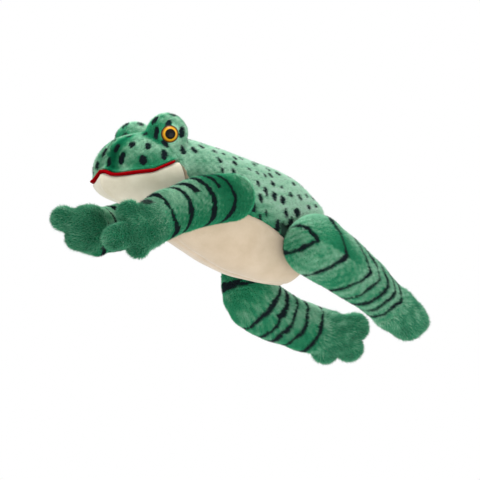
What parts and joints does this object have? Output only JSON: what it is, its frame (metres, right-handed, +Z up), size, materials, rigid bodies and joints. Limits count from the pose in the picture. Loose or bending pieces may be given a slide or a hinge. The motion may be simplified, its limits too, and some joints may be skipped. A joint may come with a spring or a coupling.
{
  "type": "hand puppet",
  "caption": "Plush frog hand puppet in a leaping pose, with a lined glove body, a hinged mouth, moulded eyes and stuffed limbs that swing at sewn joints.",
  "frame": {"origin": "centre of the opening that the hand goes in by, between the hips", "axes": "+X to the frog's left, -Y the way the frog faces, +Z up"},
  "size_m": [0.2044, 0.4292, 0.2119],
  "materials": {
    "green_plush": "matte",
    "paw_plush": "matte",
    "cream_velour": "matte",
    "lining_cloth": "matte",
    "hem_cloth": "matte",
    "stuffing": "matte",
    "mouth_board": "matte",
    "red_felt": "matte",
    "amber_eye": "gloss",
    "black_pupil": "gloss",
    "washer_plastic": "satin"
  },
  "bodies": {
    "torso": {"back_panel": "green_plush", "belly_panel_left": "cream_velour", "belly_panel_right": "cream_velour", "torso_wadding": "stuffing", "glove_lining": "lining_cloth", "glove_hem": "hem_cloth"},
    "neck": {"neck_sleeve": "green_plush"},
    "head": {"head_panel_left": "green_plush", "head_panel_right": "green_plush", "head_stuffing": "stuffing", "finger_pocket": "lining_cloth", "palate_board": "mouth_board", "palate_lining": "red_felt", "eye_mound_left": "green_plush", "eye_left": "amber_eye", "pupil_left": "black_pupil", "eye_washer_left": "washer_plastic", "eye_mound_right": "green_plush", "eye_right": "amber_eye", "pupil_right": "black_pupil", "eye_washer_right": "washer_plastic"},
    "jaw": {"chin_panel": "cream_velour", "jaw_stuffing": "stuffing", "thumb_pocket": "lining_cloth", "jaw_board": "mouth_board", "jaw_lining": "red_felt"},
    "left_arm": {"left_arm_cover": "green_plush", "left_arm_stuffing": "stuffing"},
    "left_hand": {"left_hand_cover": "paw_plush", "left_hand_stuffing": "stuffing"},
    "left_thigh": {"left_thigh_cover": "green_plush", "left_thigh_stuffing": "stuffing"},
    "left_shank": {"left_shank_cover": "green_plush", "left_shank_stuffing": "stuffing"},
    "left_foot": {"left_foot_cover": "paw_plush", "left_foot_stuffing": "stuffing"},
    "right_arm": {"right_arm_cover": "green_plush", "right_arm_stuffing": "stuffing"},
    "right_hand": {"right_hand_cover": "paw_plush", "right_hand_stuffing": "stuffing"},
    "right_thigh": {"right_thigh_cover": "green_plush", "right_thigh_stuffing": "stuffing"},
    "right_shank": {"right_shank_cover": "green_plush", "right_shank_stuffing": "stuffing"},
    "right_foot": {"right_foot_cover": "paw_plush", "right_foot_stuffing": "stuffing"}
  },
  "joints": [
    {"name": "head_turn", "type": "hinge", "parent": "torso", "child": "neck", "pos_m": [0, -0.142, 0.058], "axis": [0, 0, 1], "range_deg": [-15, 15]},
    {"name": "head_nod", "type": "hinge", "parent": "neck", "child": "head", "pos_m": [0, -0.142, 0.058], "axis": [1, 0, 0], "range_deg": [-12, 15]},
    {"name": "jaw_open", "type": "hinge", "parent": "head", "child": "jaw", "pos_m": [0, -0.181, 0.069], "axis": [1, 0, 0], "range_deg": [0, 30]},
    {"name": "left_shoulder", "type": "hinge", "parent": "torso", "child": "left_arm", "pos_m": [0.062, -0.126, 0.036], "axis": [1, 0, 0], "range_deg": [-14, 55]},
    {"name": "left_wrist", "type": "hinge", "parent": "left_arm", "child": "left_hand", "pos_m": [0.077, -0.219, 0.006], "axis": [1, 0, 0], "range_deg": [-25, 25]},
    {"name": "right_shoulder", "type": "hinge", "parent": "torso", "child": "right_arm", "pos_m": [-0.062, -0.126, 0.036], "axis": [1, 0, 0], "range_deg": [-14, 55]},
    {"name": "right_wrist", "type": "hinge", "parent": "right_arm", "child": "right_hand", "pos_m": [-0.071, -0.199, 0.014], "axis": [1, 0, 0], "range_deg": [-25, 25]},
    {"name": "left_hip", "type": "hinge", "parent": "torso", "child": "left_thigh", "pos_m": [0.06, -0.02, 0.005], "axis": [1, 0, 0], "range_deg": [-45, 8]},
    {"name": "left_knee", "type": "hinge", "parent": "left_thigh", "child": "left_shank", "pos_m": [0.054, 0.032, -0.0195], "axis": [1, 0, 0], "range_deg": [-5, 50]},
    {"name": "left_ankle", "type": "hinge", "parent": "left_shank", "child": "left_foot", "pos_m": [0.043, 0.093, -0.051], "axis": [1, 0, 0], "range_deg": [-20, 20]},
    {"name": "right_hip", "type": "hinge", "parent": "torso", "child": "right_thigh", "pos_m": [-0.06, -0.02, 0.005], "axis": [1, 0, 0], "range_deg": [-20, 40]},
    {"name": "right_knee", "type": "hinge", "parent": "right_thigh", "child": "right_shank", "pos_m": [-0.058, -0.005, -0.041], "axis": [1, 0, 0], "range_deg": [-40, 12]},
    {"name": "right_ankle", "type": "hinge", "parent": "right_shank", "child": "right_foot", "pos_m": [-0.055, 0.056, -0.062], "axis": [1, 0, 0], "range_deg": [-20, 20]}
  ]
}
